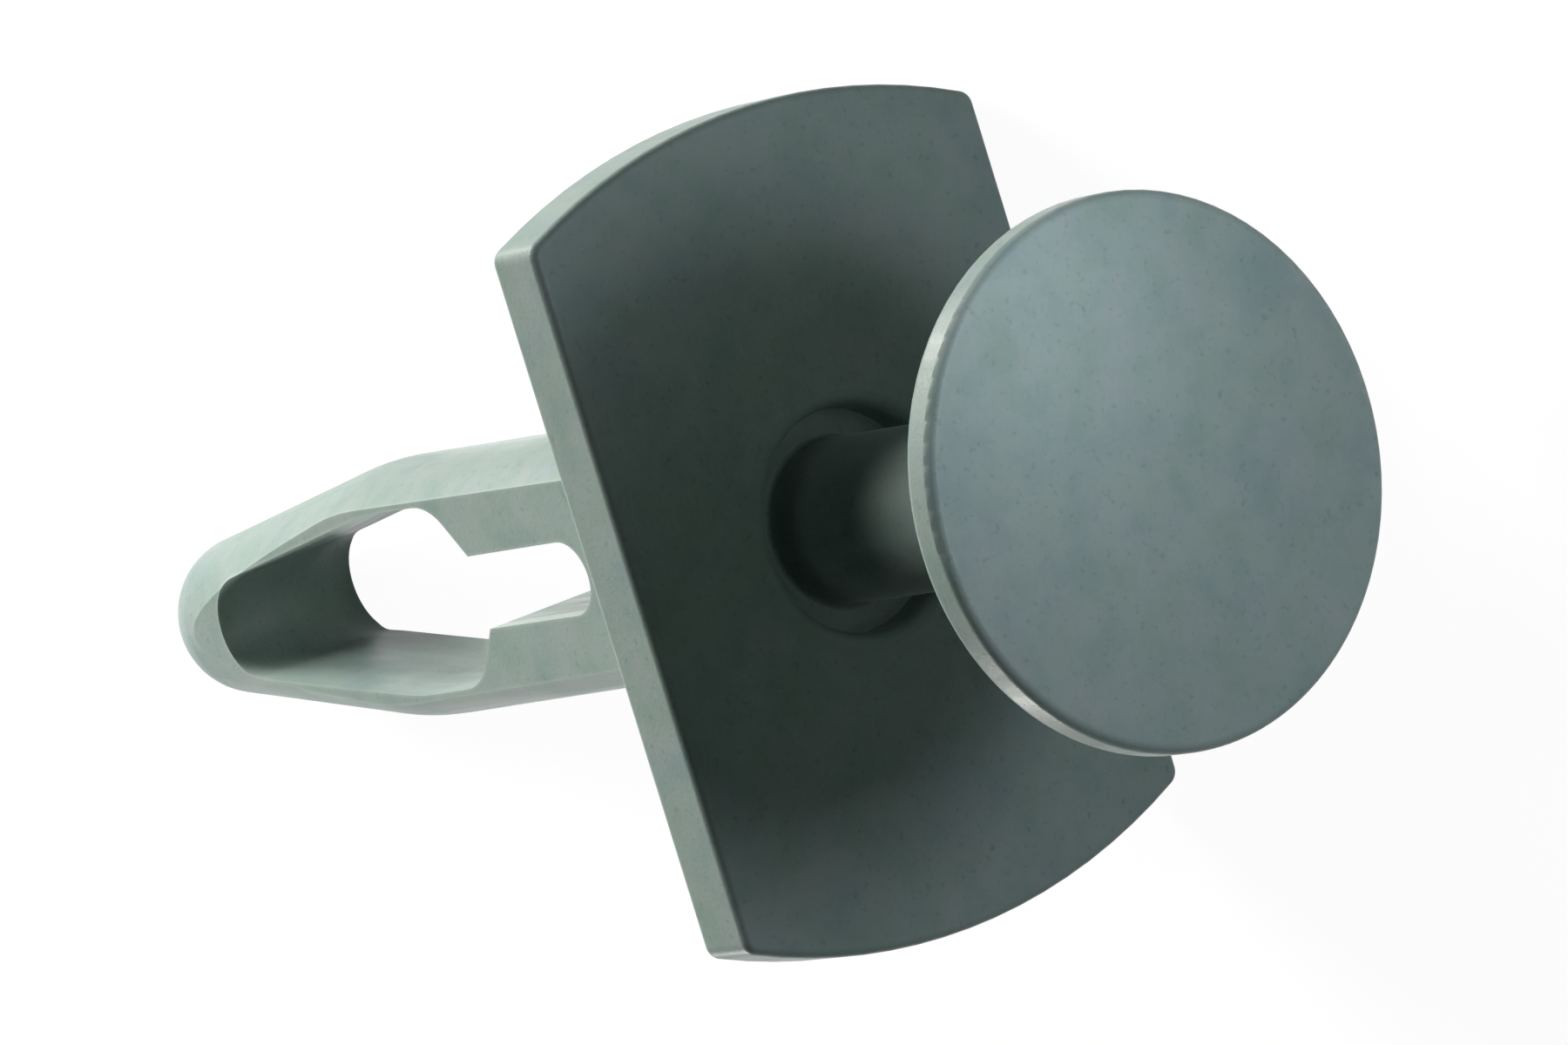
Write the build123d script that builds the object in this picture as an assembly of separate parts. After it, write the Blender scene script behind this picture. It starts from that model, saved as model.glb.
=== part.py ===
from build123d import *
import math
import os

# Push-in rivet that holds trim to a car body panel, moulded in one piece of plastic.
# It is drawn upright on its axis and then laid down. Upright, the flange's upper face is at
# height 0, the head is above it and the leg below it. The flange is long along X, and its
# two flats look along Y. All sizes are in millimetres.

# Head: a thin round disc
head_diameter = 16.2
head_thickness = 1.25
head_edge_radius = 0.3
head_height = 14.9

# Neck: the round stem from the flange to the head
neck_diameter = 5.0
neck_head_fillet = 0.8
neck_foot_fillet = 0.2

# Flange: a plate with two straight sides and two bowed ends
flange_length = 25.4
flange_width = 16.9
flange_end_radius = 20.0
flange_thickness = 2.25
flange_corner_radius = 0.5
flange_edge_radius = 0.25

# Recess: a round moat sunk in the flange about the foot of the neck
recess_diameter = 6.8
recess_depth = 1.3
recess_lip_radius = 0.45

# Leg: round with two flats, swelling to a belly, then tapering to a ball nose.
# Depths are counted down from the flange's upper face.
leg_root_diameter = 7.9
leg_root_fillet = 0.5
leg_across_flats = 5.3
belly_diameter = 8.3
belly_depth = 23.8
belly_round = 14.0
nose_depth = 36.7
nose_diameter = 5.2

# Keyhole through both flats: a narrow slot that ramps open into a long eye
slot_width = 2.35
slot_end_depth = 11.0
ramp_depth = 17.1
ramp_angle = 52.0
eye_shoulder_radius = 1.8
arm_wall = 1.15
tip_wall = 1.4
nose_wall = 4.4

# How far one solid runs into the next where they join, how near to a plane an edge counts
# as lying in it, and the most of a side that a round may take
overlap = 0.5
plane_band = 0.001
round_share = 0.9


def moved_in(line, wall):
    """A line of the leg's outline that runs down its right side, moved towards the axis."""
    start, end = line
    along = (end - start).normalized()
    inward = Vector(along.Y, -along.X) * wall
    return start + inward, end + inward


def crossing(line, other):
    """The point where two lines of the outline meet."""
    start, along = line[0], line[1] - line[0]
    across = other[1] - other[0]
    gap = other[0] - start
    reach = (gap.X * across.Y - gap.Y * across.X) / (along.X * across.Y - along.Y * across.X)
    return start + along * reach


def mirrored_face(half, end_arcs, rounds):
    """A face from the right half of an outline, listed from the top down, and its mirror.
    The first and last points of the half are joined to their mirrors by arcs where end_arcs
    gives the height of the arc's crown, and the corners in rounds are given their radius."""
    def left(point):
        return Vector(-point.X, point.Y)

    top, bottom = end_arcs
    with BuildSketch() as face:
        with BuildLine():
            Polyline(*half)
            Polyline(*[left(point) for point in half])
            for point, crown in ((half[0], top), (half[-1], bottom)):
                if crown is None:
                    Line(point, left(point))
                else:
                    ThreePointArc(point, (0, crown), left(point))
        make_face()
        for corner, radius in rounds:
            for place in (corner, left(corner)):
                fillet(face.vertices().sort_by_distance(place)[0], radius)
    return face.sketch


def round_end_touch(line, depth):
    """Where a line down the right side touches the round end that closes the outline on the
    axis, with its lowest point at the given depth."""
    along = (line[1] - line[0]).normalized()
    outward = Vector(-along.Y, along.X)
    radius = (line[0].dot(outward) + depth * outward.Y) / (1 + outward.Y)
    return Vector(0, radius - depth) + outward * radius


def leg_lines():
    """The two straight lines down the leg's right side: root to belly, belly to nose."""
    root = Vector(leg_root_diameter / 2, -flange_thickness)
    belly = Vector(belly_diameter / 2, -belly_depth)
    nose_radius = nose_diameter / 2
    nose_centre = Vector(0, nose_radius - nose_depth)
    to_belly = belly - nose_centre
    bearing = math.atan2(to_belly.Y, to_belly.X) - math.acos(nose_radius / to_belly.length)
    touch = nose_centre + Vector(math.cos(bearing), math.sin(bearing)) * nose_radius
    return (root, belly), (belly, touch)


def make_leg():
    """The leg's outline turned about the axis, then cut to its two flats."""
    shank, taper = leg_lines()
    top = Vector(shank[0].X, overlap - flange_thickness)
    outline = mirrored_face(
        [top, shank[0], shank[1], taper[1]],
        (None, -nose_depth),
        [(shank[1], belly_round)],
    )
    blank = Rectangle(belly_diameter, nose_depth, align=(Align.MIN, Align.MAX))
    turned = revolve(Plane.XZ * (outline & blank), Axis.Z)
    return turned & Box(2 * belly_diameter, leg_across_flats, 2 * nose_depth)


def make_keyhole():
    """The eye, cut off by the two ramps, and the slot above it. The eye's sides keep even
    walls to the leg's sides, and its shoulders are where the ramps meet them."""
    shank, taper = leg_lines()
    eye_end_depth = nose_depth - nose_wall
    eye_side = moved_in(shank, arm_wall)
    eye_taper = moved_in(taper, tip_wall)
    eye_belly = crossing(eye_side, eye_taper)
    hollow = mirrored_face(
        [eye_side[0], eye_belly, round_end_touch(eye_taper, eye_end_depth)],
        (None, -eye_end_depth),
        [(eye_belly, belly_round - arm_wall)],
    )
    slope = math.radians(ramp_angle)
    ramp_top = Vector(slot_width / 2, -ramp_depth)
    ramp_foot = ramp_top + Vector(math.tan(slope), -1) * nose_depth
    between_ramps = mirrored_face([ramp_top, ramp_foot], (None, None), [])
    eye = hollow & between_ramps
    next_down, shoulders = eye.vertices().group_by(Axis.Y)[-3:-1]
    room = (shoulders[0].Y - next_down[0].Y) / math.tan(slope / 2)
    eye = fillet(shoulders, min(eye_shoulder_radius, round_share * room))
    slot_top = Vector(slot_width / 2, -slot_end_depth - slot_width / 2)
    slot = mirrored_face([slot_top, ramp_top], (-slot_end_depth, None), [])
    return extrude(Plane.XZ * (eye + slot), belly_diameter, both=True)


def make_flange():
    """The plate with its bowed ends, and the recess about the neck."""
    half_length = flange_length / 2
    half_width = flange_width / 2
    bow_centre = half_length - flange_end_radius
    corner = bow_centre + math.sqrt(flange_end_radius**2 - half_width**2)
    with BuildSketch() as outline:
        with BuildLine():
            for side in (1, -1):
                Line((-side * corner, side * half_width), (side * corner, side * half_width))
                ThreePointArc(
                    (side * corner, -half_width), (side * half_length, 0), (side * corner, half_width)
                )
        make_face()
        fillet(outline.vertices(), flange_corner_radius)
    plate = extrude(outline.sketch, -flange_thickness)
    rims = plate.faces().sort_by(Axis.Z)[0].edges() + plate.faces().sort_by(Axis.Z)[-1].edges()
    plate = fillet(rims, flange_edge_radius)
    moat = Pos(0, 0, -recess_depth) * Cylinder(
        recess_diameter / 2, 2 * recess_depth, align=(Align.CENTER, Align.CENTER, Align.MIN)
    )
    plate = plate - moat
    lip = plate.edges().filter_by(GeomType.CIRCLE).sort_by_distance((recess_diameter / 2, 0, 0))[0]
    return fillet(lip, recess_lip_radius)


def make_neck_and_head():
    """The neck and head, turned in one outline with a flare at both ends of the neck."""
    neck = neck_diameter / 2
    head = head_diameter / 2
    floor = -recess_depth
    under = head_height - head_thickness
    seat = neck + 2 * neck_foot_fillet
    with BuildSketch() as outline:
        with BuildLine():
            Polyline(
                (0, floor - overlap),
                (seat, floor - overlap),
                (seat, floor),
                (neck, floor),
                (neck, under),
                (head, under),
                (head, head_height),
                (0, head_height),
                close=True,
            )
        make_face()
        rounds = [
            ((neck, floor), neck_foot_fillet),
            ((neck, under), neck_head_fillet),
            ((head, under), head_edge_radius),
            ((head, head_height), head_edge_radius),
        ]
        for corner, radius in rounds:
            fillet(outline.vertices().sort_by_distance(corner)[0], radius)
    return revolve(Plane.XZ * outline.sketch, Axis.Z)


def make_rivet():
    """The whole moulding, upright on its axis."""
    rivet = make_neck_and_head() + make_flange() + make_leg()
    underside = rivet.edges().filter_by_position(
        Axis.Z, -flange_thickness - plane_band, -flange_thickness + plane_band
    )
    root_centre = Vertex(0, 0, -flange_thickness)
    root_reach = leg_root_diameter / 2 + leg_root_fillet
    root_edges = [edge for edge in underside if edge.distance_to(root_centre) < root_reach]
    return fillet(root_edges, leg_root_fillet) - make_keyhole()


def lying(rivet):
    """The rivet as it comes to rest, on one flat of its flange and its nose, with the head
    facing -Y. The tilt is that of the line that touches both the flange's rounded lower edge
    and the ball of the nose. The origin is the middle of the footprint."""
    nose_radius = nose_diameter / 2
    edge_depth = flange_thickness - flange_edge_radius
    edge_out = flange_width / 2 - flange_edge_radius
    run = nose_depth - nose_radius - edge_depth
    fall = math.asin((nose_radius - flange_edge_radius) / math.hypot(run, edge_out))
    tilt = math.degrees(math.atan2(edge_out, run) - fall)
    laid = Rot(90 - tilt, 0, 0) * rivet
    box = laid.bounding_box()
    return Pos(-box.center().X, -box.center().Y, -box.min.Z) * laid


os.makedirs("parts", exist_ok=True)
export_step(lying(make_rivet()), "parts/push_rivet.step")
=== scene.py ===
import bpy
import math
from mathutils import Matrix, Vector

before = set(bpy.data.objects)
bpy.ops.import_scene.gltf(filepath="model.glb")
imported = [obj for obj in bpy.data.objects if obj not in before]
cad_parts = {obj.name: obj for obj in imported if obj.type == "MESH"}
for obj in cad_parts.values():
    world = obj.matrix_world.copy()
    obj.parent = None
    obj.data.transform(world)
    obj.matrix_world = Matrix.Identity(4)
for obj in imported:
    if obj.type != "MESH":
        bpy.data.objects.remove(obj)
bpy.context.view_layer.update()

# The rivet: head, neck, flange and split snap leg in one injection moulding. It is made of a
# grey-green nylon, shot in a steel mould whose cavity was spark-eroded, so the skin is satin
# all over. Nothing is fitted to it: the arms of the leg spring by their own stiffness.

MM = 0.001

# Each cloud has its colour, its shift in metres against the others, and the noise levels
# between which it sets in
NYLON_GREY = "#95A5A0"
NYLON_CLOUDS = (
    ("#80988D", 0.031, 0.44, 0.66),
    ("#84979C", 0.057, 0.46, 0.68),
    ("#A1A7A9", 0.083, 0.48, 0.70),
)
CLOUD_STRENGTH = 0.5
SPECK = "#5F706A"
SPECK_STRENGTH = 0.4
# Painted highlight: the paler colour laid along every edge, and how strongly
PAINTED_EDGE_HIGHLIGHT = "#B4BFB8"
PAINTED_EDGE_STRENGTH = 0.5

NYLON_IOR = 1.53
NYLON_GLOSS = 0.12
NYLON_ROUGHNESS = (0.30, 0.45)

# Pattern sizes, with the finest drawn as coarse as it needs to be to show in the picture
CLOUD_SIZE = 1.9 * MM
SPECK_SIZE = 0.22 * MM
EDGE_WIDTH = 0.22 * MM
SKIN_GRAIN = 0.16 * MM
SKIN_DEPTH = 0.010 * MM
SINK_SIZE = 4.5 * MM
SINK_DEPTH = 0.03 * MM
FLOW_WIDTH = 0.5 * MM
FLOW_LENGTH = 6.0 * MM
LYING_TILT = math.radians(10.26)


def linear(colour):
    """An sRGB hex colour as the linear values that Blender's sockets take."""
    parts = [int(colour[i:i + 2], 16) / 255 for i in (1, 3, 5)]
    return [p / 12.92 if p <= 0.04045 else ((p + 0.055) / 1.055) ** 2.4 for p in parts] + [1.0]


def add_node(tree, kind, inputs=(), **settings):
    """A new node with its own settings. Inputs are pairs of a socket's name or number and
    what it gets: a value, or another node's output."""
    made = tree.nodes.new(kind)
    for name, value in settings.items():
        setattr(made, name, value)
    for name, value in inputs:
        if isinstance(value, bpy.types.NodeSocket):
            tree.links.new(value, made.inputs[name])
        else:
            made.inputs[name].default_value = value
    return made


def moulded_nylon():
    """Nylon moulded in a spark-eroded cavity: a broad satin sheen, faint clouds where the
    colour masterbatch mixed unevenly, and a highlight painted slightly paler along the edges."""
    material = bpy.data.materials.new("moulded_nylon")
    material.use_nodes = True
    tree = material.node_tree
    tree.nodes.clear()
    place = add_node(tree, "ShaderNodeTexCoord").outputs["Object"]

    # Clouds of green, blue and violet grey, a few millimetres across, one over the other
    coloured = linear(NYLON_GREY)
    for cloud_colour, shift, thin, thick in NYLON_CLOUDS:
        shifted = add_node(tree, "ShaderNodeVectorMath", [
            (0, place), (1, (shift, shift / 2, -shift)),
        ], operation="ADD").outputs["Vector"]
        cloud = add_node(tree, "ShaderNodeTexNoise", [
            ("Vector", shifted), ("Scale", 1 / CLOUD_SIZE), ("Detail", 4.0), ("Roughness", 0.62),
        ]).outputs["Fac"]
        share = add_node(tree, "ShaderNodeMapRange", [
            ("Value", cloud), ("From Min", thin), ("From Max", thick), ("To Max", CLOUD_STRENGTH),
        ]).outputs["Result"]
        coloured = add_node(tree, "ShaderNodeMix", [
            ("Factor", share), (6, coloured), (7, linear(cloud_colour)),
        ], data_type="RGBA").outputs[2]

    # Specks of pigment that didn't break up
    speck_cells = add_node(tree, "ShaderNodeTexNoise", [
        ("Vector", place), ("Scale", 1 / SPECK_SIZE), ("Detail", 1.0),
    ]).outputs["Fac"]
    speck_share = add_node(tree, "ShaderNodeMapRange", [
        ("Value", speck_cells), ("From Min", 0.62), ("From Max", 0.85), ("To Max", SPECK_STRENGTH),
    ]).outputs["Result"]
    coloured = add_node(tree, "ShaderNodeMix", [
        ("Factor", speck_share), (6, coloured), (7, linear(SPECK)),
    ], data_type="RGBA").outputs[2]

    # Painted highlight along the edges: the colour turns paler where the rounded-over normal
    # leaves the true one
    rounded = add_node(tree, "ShaderNodeBevel", [("Radius", EDGE_WIDTH)], samples=6)
    true_normal = add_node(tree, "ShaderNodeNewGeometry").outputs["Normal"]
    agreement = add_node(tree, "ShaderNodeVectorMath", [
        (0, rounded.outputs["Normal"]), (1, true_normal),
    ], operation="DOT_PRODUCT").outputs["Value"]
    edge_highlight_share = add_node(tree, "ShaderNodeMapRange", [
        ("Value", agreement), ("From Min", 1.0), ("From Max", 0.9), ("To Max", PAINTED_EDGE_STRENGTH),
    ]).outputs["Result"]
    coloured = add_node(tree, "ShaderNodeMix", [
        ("Factor", edge_highlight_share), (6, coloured), (7, linear(PAINTED_EDGE_HIGHLIGHT)),
    ], data_type="RGBA").outputs[2]

    # The eroded grain of the skin, over slow sinks where the moulding shrank
    sinks = add_node(tree, "ShaderNodeTexNoise", [
        ("Vector", place), ("Scale", 1 / SINK_SIZE), ("Detail", 1.0),
    ]).outputs["Fac"]
    slow = add_node(tree, "ShaderNodeBump", [
        ("Height", sinks), ("Distance", SINK_DEPTH), ("Strength", 1.0),
    ]).outputs["Normal"]
    grain = add_node(tree, "ShaderNodeTexNoise", [
        ("Vector", place), ("Scale", 1 / SKIN_GRAIN), ("Detail", 2.0), ("Roughness", 0.7),
    ]).outputs["Fac"]
    skin = add_node(tree, "ShaderNodeBump", [
        ("Height", grain), ("Distance", SKIN_DEPTH), ("Strength", 1.0), ("Normal", slow),
    ]).outputs["Normal"]

    # Flow lines from head to nose, which show only as a change of gloss
    on_axis = add_node(tree, "ShaderNodeVectorRotate", [
        ("Vector", place), ("Angle", LYING_TILT),
    ], rotation_type="X_AXIS").outputs["Vector"]
    along_flow = add_node(tree, "ShaderNodeMapping", [
        ("Vector", on_axis), ("Scale", (1 / FLOW_WIDTH, 1 / FLOW_LENGTH, 1 / FLOW_WIDTH)),
    ]).outputs["Vector"]
    flow = add_node(tree, "ShaderNodeTexNoise", [
        ("Vector", along_flow), ("Scale", 1.0), ("Detail", 2.0),
    ]).outputs["Fac"]
    roughness = add_node(tree, "ShaderNodeMapRange", [
        ("Value", flow), ("From Min", 0.3), ("From Max", 0.7),
        ("To Min", NYLON_ROUGHNESS[0]), ("To Max", NYLON_ROUGHNESS[1]),
    ]).outputs["Result"]

    surface = add_node(tree, "ShaderNodeBsdfPrincipled", [
        ("Base Color", coloured), ("Roughness", roughness), ("IOR", NYLON_IOR),
        ("Specular IOR Level", NYLON_GLOSS), ("Normal", skin),
    ]).outputs["BSDF"]
    add_node(tree, "ShaderNodeOutputMaterial", [("Surface", surface)])
    return material


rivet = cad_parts["push_rivet"]
nylon = moulded_nylon()
for slot in rivet.material_slots:
    slot.material = nylon

# The floor: a sheet of matt paper on the table. The camera and the rivet's own gloss see it
# lit up to white, less the soft shadow that the rivet lays on it.

PAPER_GREY = "#5C5F5E"
PAPER_GLOW = 0.95
PAPER_SIDE = 3.0


def seen_directly(tree):
    """1 for what the camera sees, also in a reflection or through something clear, else 0."""
    rays = add_node(tree, "ShaderNodeLightPath").outputs
    seen = add_node(tree, "ShaderNodeMath", [
        (0, rays["Is Camera Ray"]), (1, rays["Is Glossy Ray"]),
    ], operation="MAXIMUM").outputs["Value"]
    return add_node(tree, "ShaderNodeMath", [
        (0, seen), (1, rays["Is Transmission Ray"]),
    ], operation="MAXIMUM").outputs["Value"]


def matt_paper():
    """Matt paper, with no sheen of its own, that takes the rivet's shadow. The glow over it
    is only for what sees it directly, and lights nothing."""
    material = bpy.data.materials.new("matt_paper")
    material.use_nodes = True
    tree = material.node_tree
    tree.nodes.clear()
    strength = add_node(tree, "ShaderNodeMath", [
        (0, seen_directly(tree)), (1, PAPER_GLOW),
    ], operation="MULTIPLY").outputs["Value"]
    glow = add_node(tree, "ShaderNodeEmission", [("Strength", strength)]).outputs["Emission"]
    matt = add_node(tree, "ShaderNodeBsdfDiffuse", [("Color", linear(PAPER_GREY))]).outputs["BSDF"]
    both = add_node(tree, "ShaderNodeAddShader", [(0, matt), (1, glow)]).outputs["Shader"]
    add_node(tree, "ShaderNodeOutputMaterial", [("Surface", both)])
    return material


half = PAPER_SIDE / 2
corners = [(-half, -half, 0), (half, -half, 0), (half, half, 0), (-half, half, 0)]
paper_mesh = bpy.data.meshes.new("paper")
paper_mesh.from_pydata(corners, [], [(0, 1, 2, 3)])
paper = bpy.data.objects.new("paper", paper_mesh)
bpy.context.scene.collection.objects.link(paper)
paper_mesh.materials.append(matt_paper())

# The light: a low soft box at each side and one higher up, all behind the flange, so that its
# front stays dark. Two small lamps close before the head light only what its shadow doesn't
# cover, and a lit panel in the table top shines up through the slot of the leg.

LEG_CENTRE = Vector((0, 0.008, 0.008))
HEAD_FACE = Vector((0, -0.0247, 0.0113))
HEAD_CORNER = HEAD_FACE + Vector((0.0070, 0.0005, 0.0026))
PANEL_PLACE = (0, 0.009, 0.0003)
WARM_WHITE = "#FFFEF8"
COOL_WHITE = "#F0F8FF"


def soft_box(name, aim, towards, distance, side, level, tint):
    """A square lamp that faces a point from the given direction. Its level is how bright a
    white sheet at the point would be, where 1 is white."""
    lamp = bpy.data.lights.new(name, "AREA")
    lamp.size = side
    lamp.color = linear(tint)[:3]
    lamp.energy = level * (math.pi * distance) ** 2
    box = bpy.data.objects.new(name, lamp)
    away = Vector(towards).normalized()
    box.location = aim + away * distance
    box.rotation_euler = away.to_track_quat("Z", "Y").to_euler()
    bpy.context.scene.collection.objects.link(box)
    return box


soft_box("right_soft_box", LEG_CENTRE, (0.78, 0.62, 0.14), 0.18, 0.06, 1.00, WARM_WHITE)
soft_box("upper_soft_box", LEG_CENTRE, (0.57, 0.62, 0.52), 0.30, 0.12, 0.80, WARM_WHITE)
soft_box("left_soft_box", LEG_CENTRE, (-0.75, 0.66, 0.12), 0.18, 0.06, 0.62, WARM_WHITE)
soft_box("head_lamp", HEAD_FACE, (-0.02, -1.00, -0.05), 0.052, 0.018, 0.41, COOL_WHITE)
soft_box("head_corner_lamp", HEAD_CORNER, (0, -0.984, 0.178), 0.009, 0.005, 0.60, COOL_WHITE)

panel = soft_box("table_panel", LEG_CENTRE, (0, 0, -1), 0.0077, 0.014, 0.80, WARM_WHITE)
panel.location = PANEL_PLACE
panel.visible_camera = False

# The room: white where the camera looks past the paper, and next to dark as a light, with a
# trace of the green that the photograph's shadows have.

ROOM_TINT = "#B7D6C6"
ROOM_LIGHT = 0.01

world = bpy.data.worlds.new("room")
world.use_nodes = True
room = world.node_tree
room.nodes.clear()
dim = add_node(room, "ShaderNodeBackground", [
    ("Color", linear(ROOM_TINT)), ("Strength", ROOM_LIGHT),
]).outputs["Background"]
white = add_node(room, "ShaderNodeBackground", [
    ("Color", (1, 1, 1, 1)), ("Strength", 1.0),
]).outputs["Background"]
either = add_node(room, "ShaderNodeMixShader", [
    (0, seen_directly(room)), (1, dim), (2, white),
]).outputs["Shader"]
add_node(room, "ShaderNodeOutputWorld", [("Surface", either)])
bpy.context.scene.world = world
bpy.context.scene.view_settings.view_transform = "Standard"

# The camera: a long lens from above the head, turned so that the rivet's length runs across
# the picture.

CAMERA_AIM = Vector((0.00045, -0.00779, 0.0096))
CAMERA_DISTANCE = 0.31101
CAMERA_HEIGHT_ANGLE = math.radians(44.56)
CAMERA_SIDE_ANGLE = math.radians(7.95)
CAMERA_ROLL = math.radians(-112.72)
CAMERA_LENS = 240.0
FILM_WIDTH = 36.0
NEAREST_SEEN = 0.01

lens = bpy.data.cameras.new("camera")
lens.lens = CAMERA_LENS
lens.sensor_width = FILM_WIDTH
lens.clip_start = NEAREST_SEEN
camera = bpy.data.objects.new("camera", lens)
turn = (
    Matrix.Rotation(CAMERA_SIDE_ANGLE, 4, "Z")
    @ Matrix.Rotation(math.pi / 2 - CAMERA_HEIGHT_ANGLE, 4, "X")
)
camera.matrix_world = (
    Matrix.Translation(CAMERA_AIM)
    @ turn
    @ Matrix.Translation((0, 0, CAMERA_DISTANCE))
    @ Matrix.Rotation(CAMERA_ROLL, 4, "Z")
)
bpy.context.scene.collection.objects.link(camera)
bpy.context.scene.camera = camera
